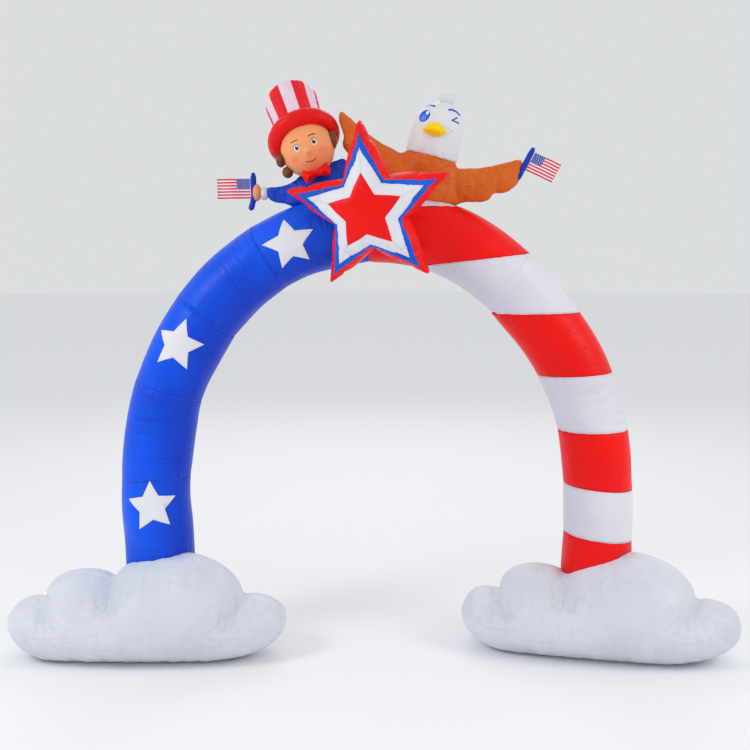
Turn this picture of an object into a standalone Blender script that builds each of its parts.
"""Inflatable arch: a bent cloth tube between two cloud bases, with a star, a doll and an eagle on top.

Metres, +Z up, the front faces -Y. The origin is on the floor, under the middle of the arch.
"""

import math

import bmesh
import bpy
import numpy as np
from mathutils import Matrix, Vector, geometry

# Driving sizes
GAP = 0.0003
ARCH_Y = 0.075
TUBE_R = 0.181
TUBE_SIDES = 24
SEAM_DRAW = 0.002
FOOT_Z = 0.29
RING_PITCH = 0.125
SHEET = 0.0015

CLOUD_FOOT_HALF = 0.135
CLOUD_TOP_HALF = 0.07
CLOUD_CROWN = 0.205
CLOUD_FALL = 0.22
CLOUD_SPACING = 0.095

STAR_R = 0.426
STAR_INNER = 0.43
STAR_TURN = math.radians(5.5)
STAR_YAW = math.radians(12.0)
STAR_PITCH = math.radians(10.0)
STAR_CENTRE = (-0.026, -0.275, 2.318)
STAR_RIM_HALF = 0.035
STAR_CROWN = 0.115
STAR_BACK_CROWN = 0.075
STAR_SPACING = 0.09
BLUE_STAR_SHARE = 0.87
WHITE_STAR_SHARE = 0.71
RED_STAR_SHARE = 0.44
BLUE_STAR_INNER = 0.455
WHITE_STAR_INNER = 0.51
RED_STAR_INNER = 0.53
SEWN_LIFT = 0.0004

LEG_STAR_R = 0.136
LEG_STAR_INNER = 0.50
LEG_STAR_SPACING = 0.034

WING_STRIP_HALF = 0.025
WING_CROWN = 0.078
WING_SPACING = 0.075
BIRD_CENTRE = (0.284, 0.0, 2.602)
BIRD_SIZES = (0.139, 0.118, 0.256)
BIRD_LEAN = 0.42
COLLAR_POINT = Vector((0.272, ARCH_Y, 2.590))
COLLAR_NORMAL = Vector((0.25, -0.06, 1.0)).normalized()
TUFT_CENTRE = (0.362, 0.0, 2.868)
TUFT_SIZES = (0.058, 0.030, 0.042)
BEAK_CENTRE = (0.292, -0.122, 2.712)
BEAK_SIZES = (0.056, 0.052, 0.036)
BEAK_ROLL = math.radians(8.0)

COAT_STRIP_HALF = 0.018
COAT_CROWN = 0.060
COAT_SPACING = 0.07
HEAD_CENTRE = (-0.345, -0.03, 2.622)
HEAD_R = 0.138
HAT_ROLL = math.radians(20.7)
HAT_TIP = math.radians(38.0)
BRIM_RISE = 0.080
BRIM_R = 0.148
BRIM_ROLL_R = 0.044
BOW_CENTRE = (-0.297, -0.106, 2.497)
BOW_ROLL = math.radians(-21.8)
BOW_STRIP_HALF = 0.006
BOW_CROWN = 0.024
BOW_SPACING = 0.026
WRIST = (-0.5503, 0.0, 2.403)
CUFF_LENGTH = 0.0363
HAND_RISE = 0.004
STAFF_R = 0.017

# Centre line of the tube, from the left foot over the crest to the right foot: x, z
CENTRE_LINE = [
    (-1.130, 0.20),
    (-1.145, 0.60),
    (-1.155, 0.89),
    (-1.120, 1.21),
    (-1.040, 1.49),
    (-0.855, 1.805),
    (-0.610, 2.04),
    (-0.330, 2.18),
    (0.000, 2.235),
    (0.335, 2.18),
    (0.610, 2.02),
    (0.855, 1.765),
    (1.035, 1.48),
    (1.130, 1.20),
    (1.165, 0.90),
    (1.170, 0.60),
    (1.155, 0.20),
]

# Seams of the tube, each a flat cut through two points: outer x, outer z, inner x, inner z
FOOT_LEFT = (-1.40, FOOT_Z, -0.90, FOOT_Z)
BLUE_SEAMS = [
    (-1.340, 0.925, -0.972, 0.952),
    (-1.187, 1.428, -0.907, 1.339),
    (-0.980, 1.865, -0.740, 1.684),
    (-0.605, 2.167, -0.479, 1.962),
]
COLOUR_CHANGE = (-0.036, 2.50, -0.036, 2.00)
STRIPE_SEAMS = [
    (0.796, 2.101, 0.257, 2.039),
    (1.057, 1.800, 0.589, 1.793),
    (1.237, 1.491, 0.832, 1.470),
    (1.318, 1.191, 0.947, 1.186),
    (1.352, 0.871, 0.983, 0.903),
    (1.344, 0.602, 0.994, 0.645),
]
FOOT_RIGHT = (1.40, FOOT_Z, 0.90, FOOT_Z)
CREST_SEAM_Z = 2.335

# Cloud outline, arcs of ellipses in order: centre along, centre up, half length, half height, from, to
CLOUD_ARCS = [
    ("left end", 0.142, 0.200, 0.130, 0.108, 180, 62, 6),
    ("second puff", 0.405, 0.345, 0.190, 0.112, 192, 38, 8),
    ("main puff", 0.862, 0.300, 0.345, 0.250, 149, 12, 12),
    ("right end", 1.252, 0.200, 0.188, 0.115, 104, 0, 7),
    ("underside right", 0.990, 0.200, 0.450, 0.200, -12, -90, 7),
    ("underside left", 0.312, 0.200, 0.300, 0.200, -90, -168, 6),
]

# Each cloud: place of the leg along it, x of the leg, y of its middle, turn in degrees
CLOUDS = [
    ("cloud_left", 0.790, -1.130, ARCH_Y - 0.08, 0.0),
    ("cloud_right", 0.705, 1.155, ARCH_Y - 0.045, -13.0),
]

# Small stars on the blue half: x and z of the centre, top point's direction in degrees, rise off the tube
LEG_STARS = [
    ("leg_star_low", -1.147, 0.816, 95.5, 0.0016),
    ("leg_star_middle", -0.998, 1.648, 72.8, 0.0016),
    ("leg_star_high", -0.435, 2.148, 106.4, 0.0020),
]

# Eagle's wings and body seen from the front: x, z
WINGS = [
    (-0.186, 2.822),
    (-0.136, 2.784),
    (-0.097, 2.748),
    (-0.032, 2.691),
    (0.039, 2.646),
    (0.107, 2.612),
    (0.200, 2.600),
    (0.311, 2.572),
    (0.409, 2.531),
    (0.500, 2.524),
    (0.588, 2.537),
    (0.659, 2.556),
    (0.735, 2.576),
    (0.752, 2.530),
    (0.729, 2.461),
    (0.690, 2.418),
    (0.643, 2.404),
    (0.599, 2.406),
    (0.575, 2.370),
    (0.530, 2.357),
    (0.470, 2.362),
    (0.420, 2.350),
    (0.340, 2.300),
    (0.200, 2.280),
    (0.060, 2.330),
    (-0.030, 2.450),
    (-0.100, 2.550),
    (-0.171, 2.641),
    (-0.163, 2.684),
    (-0.166, 2.712),
    (-0.190, 2.755),
]

# Coat seen from the front, from the wrist along the top of the arm and back: x, z
COAT = [
    (-0.550, 2.430),
    (-0.481, 2.436),
    (-0.433, 2.453),
    (-0.385, 2.490),
    (-0.300, 2.530),
    (-0.227, 2.560),
    (-0.165, 2.580),
    (-0.125, 2.540),
    (-0.110, 2.440),
    (-0.120, 2.330),
    (-0.200, 2.290),
    (-0.330, 2.270),
    (-0.400, 2.325),
    (-0.463, 2.353),
    (-0.516, 2.357),
    (-0.550, 2.376),
]

# Bow tie, its own frame: along, up
BOW = [
    (-0.066, 0.036),
    (-0.035, 0.024),
    (-0.012, 0.014),
    (0.012, 0.014),
    (0.035, 0.024),
    (0.066, 0.036),
    (0.074, 0.004),
    (0.062, -0.034),
    (0.034, -0.024),
    (0.012, -0.015),
    (-0.012, -0.015),
    (-0.034, -0.024),
    (-0.062, -0.034),
    (-0.074, 0.004),
]

# Hat turned round its own axis: radius, height above the brim
BRIM_SIDES = 9
HAT_PROFILE = [
    (0.070, 0.020),
    (0.124, 0.024),
    (0.124, 0.100),
    (0.129, 0.180),
    (0.138, 0.270),
    (0.130, 0.298),
    (0.070, 0.312),
]

# Hair puffs: name, centre, half sizes
HAIR_PUFFS = [
    ("doll_hair_upper", (-0.480, -0.050, 2.565), (0.026, 0.050, 0.036)),
    ("doll_hair_lower", (-0.446, -0.045, 2.506), (0.030, 0.045, 0.030)),
    ("doll_hair_right", (-0.226, -0.035, 2.660), (0.030, 0.055, 0.060)),
]

# Cuff and hand: distance along the arm, half height
CUFF_ROWS = [(0.0, 0.022), (0.006, 0.034), (0.024, 0.037), (0.036, 0.033)]
HAND_ROWS = [(0.0, 0.026), (0.010, 0.044), (0.026, 0.048), (0.040, 0.040), (0.046, 0.024)]

# Staffs from the top down: x, y off the arch, z
LEFT_STAFF_ROUTE = [
    (-0.625, -0.004, 2.508),
    (-0.627, 0.0, 2.45),
    (-0.624, 0.0, 2.395),
    (-0.632, 0.0, 2.345),
    (-0.643, -0.004, 2.318),
]
RIGHT_STAFF_ROUTE = [
    (0.800, -0.012, 2.632),
    (0.771, -0.012, 2.575),
    (0.741, -0.012, 2.518),
    (0.714, -0.012, 2.464),
]

# Flag cloths: name, upper hoist corner, run to the fly, run down, height of the wave
FLAGS = [
    ("flag_left", (-0.643, 0.0, 2.477), (-0.168, 0, -0.002), (0.002, 0, -0.100), 0.006),
    ("flag_right", (0.8075, -0.012, 2.607), (0.134, 0, -0.062), (-0.048, 0, -0.088), 0.005),
]

for old in list(bpy.data.objects):
    bpy.data.objects.remove(old, do_unlink=True)


def cloth(name, colour, roughness=0.38):
    """A material of coated nylon taffeta in one colour."""
    material = bpy.data.materials.new(name)
    material.use_nodes = True
    shader = material.node_tree.nodes["Principled BSDF"]
    shader.inputs["Base Color"].default_value = (*colour, 1.0)
    shader.inputs["Roughness"].default_value = roughness
    shader.inputs["Metallic"].default_value = 0.0
    return material


BLUE = cloth("blue_taffeta", (0.0, 0.10, 0.72))
RED = cloth("red_taffeta", (0.85, 0.0, 0.0))
WHITE = cloth("white_taffeta", (0.80, 0.80, 0.85))
CLOUD_WHITE = cloth("cloud_taffeta", (0.74, 0.77, 0.84))
BROWN = cloth("brown_taffeta", (0.70, 0.17, 0.02))
YELLOW = cloth("yellow_taffeta", (1.0, 0.60, 0.0))
SKIN = cloth("skin_taffeta", (0.95, 0.45, 0.20))
HAIR = cloth("hair_taffeta", (0.22, 0.09, 0.03))
COAT_BLUE = cloth("coat_taffeta", (0.01, 0.10, 0.60))


def piece(name, points, faces, material):
    """One closed cloth form from points and faces, its faces turned outwards."""
    mesh = bpy.data.meshes.new(name)
    mesh.from_pydata([tuple(map(float, p)) for p in points], [], faces)
    body = bmesh.new()
    body.from_mesh(mesh)
    bmesh.ops.recalc_face_normals(body, faces=body.faces)
    if body.calc_volume(signed=True) < 0:
        bmesh.ops.reverse_faces(body, faces=body.faces)
    bmesh.ops.triangulate(body, faces=body.faces)
    body.to_mesh(mesh)
    body.free()
    mesh.materials.append(material)
    mesh.shade_smooth()
    mesh.set_sharp_from_angle(angle=math.radians(50))
    thing = bpy.data.objects.new(name, mesh)
    bpy.context.collection.objects.link(thing)
    return thing


def smooth_line(points, steps):
    """Points on a smooth curve through the given ones."""
    rows = [np.array(p, float) for p in points]
    rows = [2 * rows[0] - rows[1]] + rows + [2 * rows[-1] - rows[-2]]
    line = []
    for p0, p1, p2, p3 in zip(rows, rows[1:], rows[2:], rows[3:]):
        for step in range(steps):
            t = step / steps
            bend = (2 * p0 - 5 * p1 + 4 * p2 - p3) * t * t
            twist = (3 * p1 - p0 - 3 * p2 + p3) * t ** 3
            line.append(0.5 * (2 * p1 + (p2 - p0) * t + bend + twist))
    line.append(rows[-2])
    return np.array(line)


def carve(thing, others):
    """Cut a piece back to where its neighbours lie, with the sewing gap left free."""
    for other in others:
        tool = other.copy()
        tool.data = other.data.copy()
        tool.name = thing.name + "_seat_" + other.name
        tool.modifiers.clear()
        body = bmesh.new()
        body.from_mesh(tool.data)
        body.normal_update()
        for vert in body.verts:
            vert.co += vert.normal * vert.calc_shell_factor() * GAP
        body.to_mesh(tool.data)
        body.free()
        bpy.context.collection.objects.link(tool)
        tool.hide_render = True
        tool.display_type = "WIRE"
        cut = thing.modifiers.new("seat_" + other.name, "BOOLEAN")
        cut.operation = "DIFFERENCE"
        cut.solver = "EXACT"
        cut.object = tool


def join_form(thing, other):
    """Fuse another closed form into a piece."""
    other.hide_render = True
    other.display_type = "WIRE"
    fuse = thing.modifiers.new("join_" + other.name, "BOOLEAN")
    fuse.operation = "UNION"
    fuse.solver = "EXACT"
    fuse.object = other


# The tube
LINE = smooth_line(CENTRE_LINE, 30)
STEP = np.linalg.norm(np.diff(LINE, axis=0), axis=1)
ALONG = np.concatenate([[0.0], np.cumsum(STEP)])
TANGENT = np.gradient(LINE, axis=0)
TANGENT /= np.linalg.norm(TANGENT, axis=1)[:, None]
OUTWARD = np.stack([-TANGENT[:, 1], TANGENT[:, 0]], axis=1)


def tube_line(angle, radius):
    """One lengthwise line of the tube; angle 0 is the front, 90 degrees the outer side."""
    out = radius * math.sin(angle)
    points = np.zeros((len(LINE), 3))
    points[:, 0] = LINE[:, 0] + out * OUTWARD[:, 0]
    points[:, 1] = ARCH_Y - radius * math.cos(angle)
    points[:, 2] = LINE[:, 1] + out * OUTWARD[:, 1]
    return points


def crossing(points, seam, shift):
    """Place along the tube, as a sample number, where a lengthwise line meets a seam's flat cut."""
    outer = np.array(seam[:2])
    inner = np.array(seam[2:])
    run = inner - outer
    normal = np.array([run[1], -run[0]]) / np.linalg.norm(run)
    if normal @ (TANGENT[np.argmin(np.linalg.norm(LINE - (outer + inner) / 2, axis=1))]) < 0:
        normal = -normal
    side = (points[:, [0, 2]] - outer) @ normal - shift
    near = np.linalg.norm(points[:, [0, 2]] - (outer + inner) / 2, axis=1) < 0.6
    for k in range(len(side) - 1):
        if near[k] and side[k] < 0 <= side[k + 1]:
            return k + side[k] / (side[k] - side[k + 1])
    raise ValueError("a seam misses the tube")


def at(points, sample):
    """Point between two samples of a line."""
    low = min(int(sample), len(points) - 2)
    return points[low] + (points[low + 1] - points[low]) * (sample - low)


def tube_panel(name, first, last, material):
    """One panel of the tube between two seams, drawn in a little at each seam."""
    middle = [np.array([(s[0] + s[2]) / 2, (s[1] + s[3]) / 2]) for s in (first, last)]
    strips = max(2, round(np.linalg.norm(middle[1] - middle[0]) / RING_PITCH))
    rings = [[] for _ in range(strips + 1)]
    for side in range(TUBE_SIDES):
        angle = 2 * math.pi * side / TUBE_SIDES
        full = tube_line(angle, TUBE_R)
        drawn = tube_line(angle, TUBE_R - SEAM_DRAW)
        start = crossing(drawn, first, GAP / 2)
        end = crossing(drawn, last, -GAP / 2)
        for k, ring in enumerate(rings):
            line = drawn if k in (0, strips) else full
            ring.append(at(line, start + (end - start) * k / strips))
    points = [p for ring in rings for p in ring]
    faces = []
    for k in range(strips):
        for side in range(TUBE_SIDES):
            follow = (side + 1) % TUBE_SIDES
            low, high = k * TUBE_SIDES, (k + 1) * TUBE_SIDES
            faces.append((low + side, low + follow, high + follow, high + side))
    faces.append(tuple(range(TUBE_SIDES)))
    faces.append(tuple(range(strips * TUBE_SIDES, (strips + 1) * TUBE_SIDES)))
    return piece(name, points, faces, material)


def keep_side(thing, point, normal):
    """Cut a piece along a plane, keep the side that the normal points to, and close it."""
    body = bmesh.new()
    body.from_mesh(thing.data)
    everything = body.verts[:] + body.edges[:] + body.faces[:]
    bmesh.ops.bisect_plane(
        body, geom=everything, plane_co=point, plane_no=normal, clear_inner=True, dist=1e-6
    )
    rim = [e for e in body.edges if e.is_boundary]
    bmesh.ops.contextual_create(body, geom=rim)
    bmesh.ops.recalc_face_normals(body, faces=body.faces)
    body.to_mesh(thing.data)
    body.free()


blue_cuts = [FOOT_LEFT] + BLUE_SEAMS + [COLOUR_CHANGE]
blue_panels = []
for number, (first, last) in enumerate(zip(blue_cuts, blue_cuts[1:]), 1):
    blue_panels.append(tube_panel(f"blue_panel_{number}", first, last, BLUE))

crest_cap = tube_panel("stripe_0_white", COLOUR_CHANGE, STRIPE_SEAMS[0], WHITE)
keep_side(crest_cap, (0, 0, CREST_SEAM_Z + GAP / 2), (0, 0, 1))
first_red = tube_panel("stripe_1_red", COLOUR_CHANGE, STRIPE_SEAMS[0], RED)
keep_side(first_red, (0, 0, CREST_SEAM_Z - GAP / 2), (0, 0, -1))
stripes = [crest_cap, first_red]
stripe_cuts = STRIPE_SEAMS + [FOOT_RIGHT]
for number, (first, last) in enumerate(zip(stripe_cuts, stripe_cuts[1:]), 2):
    colour = "white" if number % 2 == 0 else "red"
    material = WHITE if number % 2 == 0 else RED
    stripes.append(tube_panel(f"stripe_{number}_{colour}", first, last, material))


# Filled pouches
def inside(outline, point):
    """Whether a point lies within a closed outline."""
    odd = False
    x, z = point
    for (x0, z0), (x1, z1) in zip(outline, outline[1:] + outline[:1]):
        if (z0 > z) != (z1 > z) and x < x0 + (z - z0) * (x1 - x0) / (z1 - z0):
            odd = not odd
    return odd


def edge_distance(outline, point):
    """Shortest distance from a point to an outline."""
    p = Vector(point)
    best = 1e9
    for a, b in zip(outline, outline[1:] + outline[:1]):
        near, part = geometry.intersect_point_line(p, Vector(a), Vector(b))
        part = min(max(part, 0.0), 1.0)
        best = min(best, (p - Vector(a).lerp(Vector(b), part)).length)
    return best


def panel_net(outline, spacing, inner_loops=()):
    """Triangles that fill an outline: points, faces and the number of outline points."""
    points = [Vector(p) for p in outline]
    edges = [(k, (k + 1) % len(outline)) for k in range(len(outline))]
    for loop in inner_loops:
        base = len(points)
        points += [Vector(p) for p in loop]
        edges += [(base + k, base + (k + 1) % len(loop)) for k in range(len(loop))]
    low = [min(p[i] for p in outline) for i in (0, 1)]
    high = [max(p[i] for p in outline) for i in (0, 1)]
    loops = [outline] + [list(loop) for loop in inner_loops]
    rows = int((high[1] - low[1]) / (spacing * 0.87)) + 1
    for row in range(rows):
        z = low[1] + (row + 0.5) * spacing * 0.87
        x = low[0] + (0.25 if row % 2 else 0.75) * spacing
        while x < high[0]:
            if inside(outline, (x, z)):
                if min(edge_distance(loop, (x, z)) for loop in loops) > 0.55 * spacing:
                    points.append(Vector((x, z)))
            x += spacing
    verts, _, faces, _, _, _ = geometry.delaunay_2d_cdt(points, edges, [], 1, 1e-6)
    return [tuple(v) for v in verts], [tuple(f) for f in faces]


def swell(points, faces, rim):
    """Rise of an inflated panel over its net, 0 at the rim and 1 at the highest place."""
    count = len(points)
    stiff = np.zeros((count, count))
    load = np.zeros(count)
    for tri in faces:
        a, b, c = (np.array(points[k]) for k in tri)
        area = abs(np.cross(b - a, c - a)) / 2
        slopes = np.array([c - b, a - c, b - a])
        stiff[np.ix_(tri, tri)] += slopes @ slopes.T / (4 * area)
        load[list(tri)] += area / 3
    free = np.setdiff1d(np.arange(count), rim)
    rise = np.zeros(count)
    rise[free] = np.linalg.solve(stiff[np.ix_(free, free)], load[free])
    return np.sqrt(rise / rise.max())


def pouch(name, outline, spacing, half_depth, crown, material, back_crown=None, rim_rows=1,
          rim_swell=0.0, place=None, inner_loops=()):
    """Two inflated panels and the strip between them. half_depth(x, z) is half the strip's width.

    The pouch's own frame has x to the right, y away from the viewer and z up.
    """
    back_crown = crown if back_crown is None else back_crown
    net, faces = panel_net(outline, spacing, inner_loops)
    rim = []
    for corner in outline:
        rim.append(min(range(len(net)), key=lambda k: (Vector(net[k]) - Vector(corner)).length))
    rise = swell(net, faces, rim)
    front = [(x, -half_depth(x, z) - crown * r, z) for (x, z), r in zip(net, rise)]
    back = [(x, half_depth(x, z) + back_crown * r, z) for (x, z), r in zip(net, rise)]
    count = len(net)
    points = front + back
    shell = [tuple(f) for f in faces] + [tuple(k + count for k in reversed(f)) for f in faces]
    rows = [rim]
    for row in range(1, rim_rows):
        share = row / rim_rows
        base = len(points)
        for k, number in enumerate(rim):
            before = Vector(outline[k - 1])
            after = Vector(outline[(k + 1) % len(outline)])
            run = (after - before).normalized()
            push = Vector((-run.y, run.x)) * rim_swell * math.sin(math.pi * share)
            x, z = net[number]
            depth = half_depth(x, z)
            points.append((x + push.x, -depth + 2 * depth * share, z + push.y))
        rows.append(list(range(base, base + len(rim))))
    rows.append([k + count for k in rim])
    for near, far in zip(rows, rows[1:]):
        for k in range(len(rim)):
            n = (k + 1) % len(rim)
            shell.append((near[k], near[n], far[n], far[k]))
    if place is not None:
        points = [place(Vector(p)) for p in points]
    return piece(name, points, shell, material), net, faces, front


def arc_points(rows):
    """Outline from arcs of ellipses."""
    outline = []
    for _, along, up, long, high, start, end, steps in rows:
        for step in range(steps + 1):
            turn = math.radians(start + (end - start) * step / steps)
            outline.append((along + long * math.cos(turn), up + high * math.sin(turn)))
    return outline


clouds = {}
for name, leg, leg_x, middle_y, turn in CLOUDS:
    outline = [(x - leg, z) for x, z in arc_points(CLOUD_ARCS)]
    top = max(z for _, z in outline)

    def half_depth(x, z, top=top):
        return CLOUD_FOOT_HALF + (CLOUD_TOP_HALF - CLOUD_FOOT_HALF) * z / top

    def place(p, leg_x=leg_x, middle_y=middle_y, turn=turn, top=top):
        drop = CLOUD_FALL * (p.y + CLOUD_TOP_HALF) * p.z / top
        height = max(p.z - max(drop, 0.0), 0.0)
        moved = Matrix.Rotation(math.radians(turn), 3, "Z") @ Vector((p.x, p.y, height))
        return moved + Vector((leg_x, middle_y, 0.0))

    cloud, _, _, _ = pouch(
        name, outline, CLOUD_SPACING, half_depth, CLOUD_CROWN, CLOUD_WHITE,
        rim_rows=3, rim_swell=0.012, place=place,
    )
    clouds[name] = cloud
carve(blue_panels[0], [clouds["cloud_left"]])
carve(stripes[-1], [clouds["cloud_right"]])


# Stars
def star_outline(radius, inner, turn, parts):
    """A five-pointed star, each straight side in a number of parts."""
    corners = []
    for k in range(10):
        reach = radius if k % 2 == 0 else radius * inner
        angle = turn + math.pi / 2 - k * math.pi / 5
        corners.append(Vector((reach * math.cos(angle), reach * math.sin(angle))))
    outline = []
    for a, b in zip(corners, corners[1:] + corners[:1]):
        outline += [tuple(a.lerp(b, step / parts)) for step in range(parts)]
    return outline


def leg_star(name, x, z, direction, rise):
    """A flat cloth star laid round the front of the tube."""
    nearest = int(np.argmin(np.linalg.norm(LINE - np.array([x, z]), axis=1)))
    tangent = TANGENT[nearest]
    middle = math.asin((np.array([x, z]) - LINE[nearest]) @ OUTWARD[nearest] / TUBE_R)
    lean = math.radians(direction) - math.atan2(tangent[1], tangent[0])
    outline = star_outline(LEG_STAR_R, LEG_STAR_INNER, 0.0, 4)
    net, faces = panel_net(outline, LEG_STAR_SPACING)
    layers = []
    for lift in (rise, rise + SHEET):
        for a, b in net:
            along = b * math.cos(lean) + a * math.sin(lean)
            across = b * math.sin(lean) - a * math.cos(lean)
            sample = np.interp(ALONG[nearest] + along, ALONG, np.arange(len(LINE)))
            angle = middle + across / TUBE_R
            layers.append(at(tube_line(angle, TUBE_R + lift), sample))
    return piece(name, layers, sheet_faces(faces, len(net)), WHITE)


def sheet_faces(faces, count):
    """Faces of a closed sheet from one layer's triangles and the number of its points."""
    used = {}
    for face in faces:
        for a, b in zip(face, face[1:] + face[:1]):
            used[(a, b)] = True
    shell = [tuple(reversed(f)) for f in faces]
    shell += [tuple(k + count for k in f) for f in faces]
    for a, b in used:
        if (b, a) not in used:
            shell.append((a, b, b + count, a + count))
    return shell


for row in LEG_STARS:
    leg_star(*row)

yaw, pitch = STAR_YAW, STAR_PITCH
star_normal = Vector((-math.sin(yaw) * math.cos(pitch), -math.cos(yaw) * math.cos(pitch), -math.sin(pitch)))
star_right = Vector((0, 0, 1)).cross(-star_normal).normalized() * -1
star_up = star_normal.cross(star_right)


def star_place(p):
    """From the star's own frame to its seat on the crest."""
    x, y, z = STAR_CENTRE
    centre = Vector((x, ARCH_Y + y, z))
    return centre + star_right * p.x + star_up * p.z - star_normal * p.y


rim_star = star_outline(STAR_R, STAR_INNER, STAR_TURN, 4)
blue_star = star_outline(STAR_R * BLUE_STAR_SHARE, BLUE_STAR_INNER, STAR_TURN, 4)
white_star = star_outline(STAR_R * WHITE_STAR_SHARE, WHITE_STAR_INNER, STAR_TURN, 3)
red_star = star_outline(STAR_R * RED_STAR_SHARE, RED_STAR_INNER, STAR_TURN, 2)
star_body, star_net, star_faces, star_front = pouch(
    "star_body", rim_star, STAR_SPACING, lambda x, z: STAR_RIM_HALF, STAR_CROWN, RED,
    back_crown=STAR_BACK_CROWN, rim_rows=2, rim_swell=0.008, place=star_place,
    inner_loops=(blue_star, white_star, red_star),
)
carve(star_body, blue_panels[4:] + [crest_cap, first_red])


def front_normals(points, faces):
    """Direction square to an open net at each of its points."""
    normals = [Vector((0, 0, 0)) for _ in points]
    for face in faces:
        a, b, c = (Vector(points[k]) for k in face)
        square = (b - a).cross(c - a)
        if square.y > 0:
            square = -square
        for k in face:
            normals[k] += square
    return [n.normalized() for n in normals]


lifts = front_normals(star_front, star_faces)


def star_sheet(name, loop, layer, material):
    """One cloth star sewn on the big star's front."""
    chosen = []
    for face in star_faces:
        middle = sum((Vector(star_net[k]) for k in face), Vector((0, 0))) / 3
        if inside(loop, tuple(middle)):
            chosen.append(face)
    numbers = sorted({k for face in chosen for k in face})
    place_of = {number: k for k, number in enumerate(numbers)}
    faces = [tuple(place_of[k] for k in face) for face in chosen]
    base = SEWN_LIFT + layer * (SHEET + GAP)
    layers = []
    for lift in (base, base + SHEET):
        layers += [star_place(Vector(star_front[k]) + lifts[k] * lift) for k in numbers]
    return piece(name, layers, sheet_faces(faces, len(numbers)), material)


star_sheet("star_blue", blue_star, 0, BLUE)
star_sheet("star_white", white_star, 1, WHITE)
star_sheet("star_red", red_star, 2, RED)


# Rounded forms
def ball(name, centre, sizes, material, turn=None, around=16, up=10, shape=None):
    """A filled round form; shape(direction) may change the unit ball before it is sized."""
    mesh = bpy.data.meshes.new(name)
    body = bmesh.new()
    bmesh.ops.create_uvsphere(body, u_segments=around, v_segments=up, radius=1.0)
    turn = turn or Matrix.Identity(3)
    for vert in body.verts:
        unit = shape(vert.co.copy()) if shape else vert.co
        sized = Vector((unit.x * sizes[0], unit.y * sizes[1], unit.z * sizes[2]))
        vert.co = turn @ sized + Vector((centre[0], ARCH_Y + centre[1], centre[2]))
    bmesh.ops.triangulate(body, faces=body.faces)
    body.to_mesh(mesh)
    body.free()
    mesh.materials.append(material)
    mesh.shade_smooth()
    thing = bpy.data.objects.new(name, mesh)
    bpy.context.collection.objects.link(thing)
    return thing


def arch_place(p):
    """From a pouch's own frame to the plane of the arch."""
    return Vector((p.x, p.y + ARCH_Y, p.z))


# Eagle
def bird_shape(unit):
    """A long egg: nearly straight sides and a round crown."""
    t = unit.z
    lean = BIRD_LEAN * t
    flat = math.hypot(unit.x, unit.y)
    if flat < 1e-6:
        return Vector((lean, 0.0, t))
    width = (1 - abs(t) ** 3.2) ** 0.5
    return Vector((unit.x / flat * width + lean, unit.y / flat * width, t))


eagle_head = ball("eagle_head", BIRD_CENTRE, BIRD_SIZES, WHITE, around=20, up=14, shape=bird_shape)
keep_side(eagle_head, COLLAR_POINT + COLLAR_NORMAL * GAP, COLLAR_NORMAL)
eagle_body, _, _, _ = pouch(
    "eagle_body", WINGS, WING_SPACING, lambda x, z: WING_STRIP_HALF, WING_CROWN, BROWN, place=arch_place,
)
eagle_belly = ball("eagle_belly", BIRD_CENTRE, BIRD_SIZES, BROWN, around=20, up=14, shape=bird_shape)
keep_side(eagle_belly, COLLAR_POINT, -COLLAR_NORMAL)
join_form(eagle_body, eagle_belly)
carve(eagle_body, [eagle_head, blue_panels[4], crest_cap, first_red, stripes[2], star_body])


def tuft_shape(unit):
    """Flattened crown of the tuft with three soft points."""
    t = unit.z
    flare = 0.72 + 0.28 * t
    points_up = 0.22 * math.cos(unit.x * 7.0) if t > 0.2 else 0.0
    return Vector((unit.x * flare * 1.15, unit.y * flare, t + points_up * (t - 0.2)))


eagle_tuft = ball("eagle_tuft", TUFT_CENTRE, TUFT_SIZES, WHITE, around=14, up=8, shape=tuft_shape)
carve(eagle_tuft, [eagle_head])


def beak_shape(unit):
    """A soft beak, drawn to a blunt point in front."""
    narrow = 1.0 - 0.45 * max(-unit.y, 0.0)
    return Vector((unit.x * narrow, unit.y, unit.z * narrow + 0.15 * unit.y))


beak_turn = Matrix.Rotation(BEAK_ROLL, 3, "Y")
eagle_beak = ball("eagle_beak", BEAK_CENTRE, BEAK_SIZES, YELLOW, turn=beak_turn, around=14, up=8,
                  shape=beak_shape)
carve(eagle_beak, [eagle_head])

# Doll
doll_coat, _, _, _ = pouch(
    "doll_coat", COAT, COAT_SPACING, lambda x, z: COAT_STRIP_HALF, COAT_CROWN, COAT_BLUE, place=arch_place,
)
doll_head = ball("doll_head", HEAD_CENTRE, (HEAD_R, HEAD_R, HEAD_R), SKIN, around=20, up=14)

hat_turn = Matrix.Rotation(-HAT_ROLL, 3, "Y") @ Matrix.Rotation(-HAT_TIP, 3, "X")
head_middle = arch_place(Vector(HEAD_CENTRE))
brim_middle = head_middle + hat_turn @ Vector((0, 0, BRIM_RISE))


def turned(name, profile, steps, material, closed_ring):
    """A form turned round the hat's axis from rows of radius and height."""
    points = []
    for step in range(steps):
        angle = 2 * math.pi * step / steps
        for radius, height in profile:
            own = Vector((radius * math.cos(angle), radius * math.sin(angle), height))
            points.append(brim_middle + hat_turn @ own)
    faces = []
    rows = len(profile)
    last = rows if closed_ring else rows - 1
    for step in range(steps):
        near, far = step * rows, ((step + 1) % steps) * rows
        for k in range(last):
            n = (k + 1) % rows
            faces.append((near + k, far + k, far + n, near + n))
    if not closed_ring:
        faces.append(tuple(step * rows for step in range(steps)))
        faces.append(tuple(step * rows + rows - 1 for step in reversed(range(steps))))
    return piece(name, points, faces, material)


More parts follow.
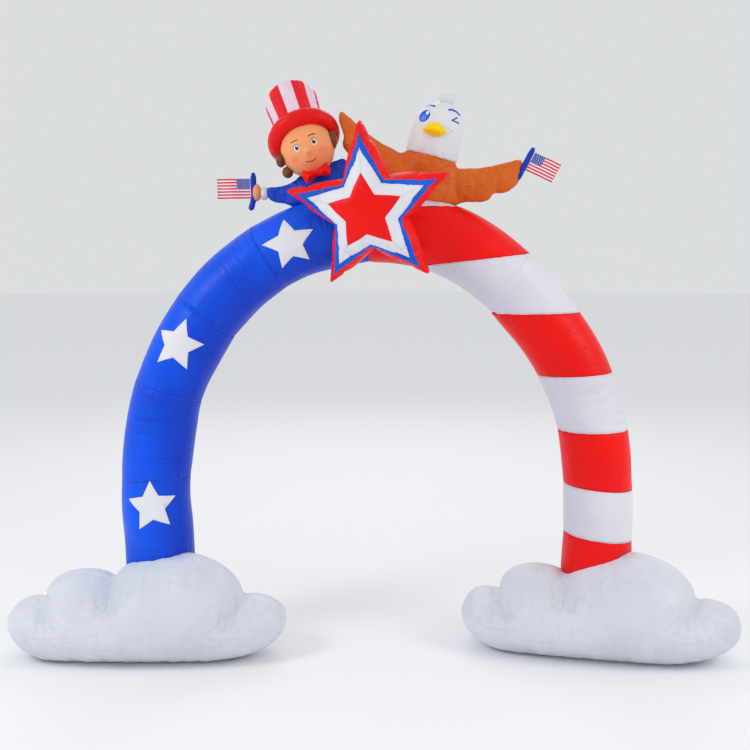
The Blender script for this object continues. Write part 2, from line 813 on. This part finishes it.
brim_profile = []
for step in range(BRIM_SIDES):
    angle = 2 * math.pi * step / BRIM_SIDES
    brim_profile.append((BRIM_R + BRIM_ROLL_R * math.cos(angle), BRIM_ROLL_R * 1.1 * math.sin(angle)))
doll_brim = turned("doll_brim", brim_profile, 20, RED, True)
doll_hat = turned("doll_hat", HAT_PROFILE, 20, WHITE, False)
carve(doll_brim, [doll_head])
carve(doll_hat, [doll_head, doll_brim])
carve(doll_coat, [doll_head, blue_panels[3], blue_panels[4], star_body, eagle_body])

for name, centre, sizes in HAIR_PUFFS:
    puff = ball(name, centre, sizes, HAIR, around=12, up=8)
    carve(puff, [doll_head, doll_brim, doll_coat])


def bow_place(p):
    """From the bow's own frame to under the doll's chin."""
    return Matrix.Rotation(BOW_ROLL, 3, "Y") @ p + arch_place(Vector(BOW_CENTRE))


doll_bow, _, _, _ = pouch(
    "doll_bow", BOW, BOW_SPACING, lambda x, z: BOW_STRIP_HALF, BOW_CROWN, RED, place=bow_place,
)
carve(doll_bow, [doll_head, doll_coat])


# Arm end
def sleeve(name, start, rows, depth, material):
    """A round form along the arm, from its start, closed at both ends."""
    points = []
    steps = 12
    for along, reach in rows:
        for step in range(steps):
            angle = 2 * math.pi * step / steps
            across, deep = reach * math.cos(angle), depth * reach * math.sin(angle)
            points.append(start + Vector((-along, deep, across)))
    faces = []
    for row in range(len(rows) - 1):
        for step in range(steps):
            n = (step + 1) % steps
            low, high = row * steps, (row + 1) * steps
            faces.append((low + step, low + n, high + n, high + step))
    faces.append(tuple(range(steps)))
    faces.append(tuple(range((len(rows) - 1) * steps, len(rows) * steps)))
    return piece(name, points, faces, material)


wrist = arch_place(Vector(WRIST))
doll_cuff = sleeve("doll_cuff", wrist, CUFF_ROWS, 0.8, WHITE)
palm = wrist + Vector((-CUFF_LENGTH, 0, HAND_RISE))
doll_hand = sleeve("doll_hand", palm, HAND_ROWS, 0.7, SKIN)
carve(doll_cuff, [doll_coat])


# Flags
def staff(name, route, radius, material):
    """A filled staff along a route, its ends rounded."""
    line = smooth_line([arch_place(Vector(p)) for p in route], 3)
    points = []
    steps = 10
    count = len(line)
    for k, p in enumerate(line):
        ahead = line[min(k + 1, count - 1)] - line[max(k - 1, 0)]
        run = Vector(ahead).normalized()
        side = run.cross(Vector((0, 1, 0))).normalized()
        reach = radius * (0.55 if k in (0, count - 1) else 1.0)
        for step in range(steps):
            angle = 2 * math.pi * step / steps
            points.append(Vector(p) + side * reach * math.cos(angle)
                          + Vector((0, 1, 0)) * reach * math.sin(angle))
    faces = []
    for k in range(count - 1):
        for step in range(steps):
            n = (step + 1) % steps
            faces.append((k * steps + step, k * steps + n, (k + 1) * steps + n, (k + 1) * steps + step))
    faces.append(tuple(range(steps)))
    faces.append(tuple(range((count - 1) * steps, count * steps)))
    return piece(name, points, faces, material)


def flag(name, hoist, fly, drop, waves, material):
    """A flag cloth from its upper hoist corner, with a soft wave along it."""
    across, down = 8, 5
    front, rear = [], []
    for i in range(across + 1):
        for j in range(down + 1):
            u, v = i / across, j / down
            wave = waves * math.sin(2.6 * math.pi * u + 0.9 * v) * u ** 0.5
            p = arch_place(Vector(hoist)) + Vector(fly) * u + Vector(drop) * v
            front.append(p + Vector((0, wave - SHEET * 0.6, 0)))
            rear.append(p + Vector((0, wave + SHEET * 0.6, 0)))
    faces = []
    for i in range(across):
        for j in range(down):
            a = i * (down + 1) + j
            b = a + down + 1
            faces += [(a, a + 1, b), (a + 1, b + 1, b)]
    return piece(name, front + rear, sheet_faces(faces, len(front)), material)


pole_left = staff("flag_staff_left", LEFT_STAFF_ROUTE, STAFF_R, BLUE)
pole_right = staff("flag_staff_right", RIGHT_STAFF_ROUTE, STAFF_R, BLUE)
carve(doll_hand, [pole_left, doll_cuff])
carve(eagle_body, [pole_right])
flag_left, flag_right = (flag(*row, WHITE) for row in FLAGS)
carve(flag_left, [pole_left])
carve(flag_right, [pole_right, eagle_body])
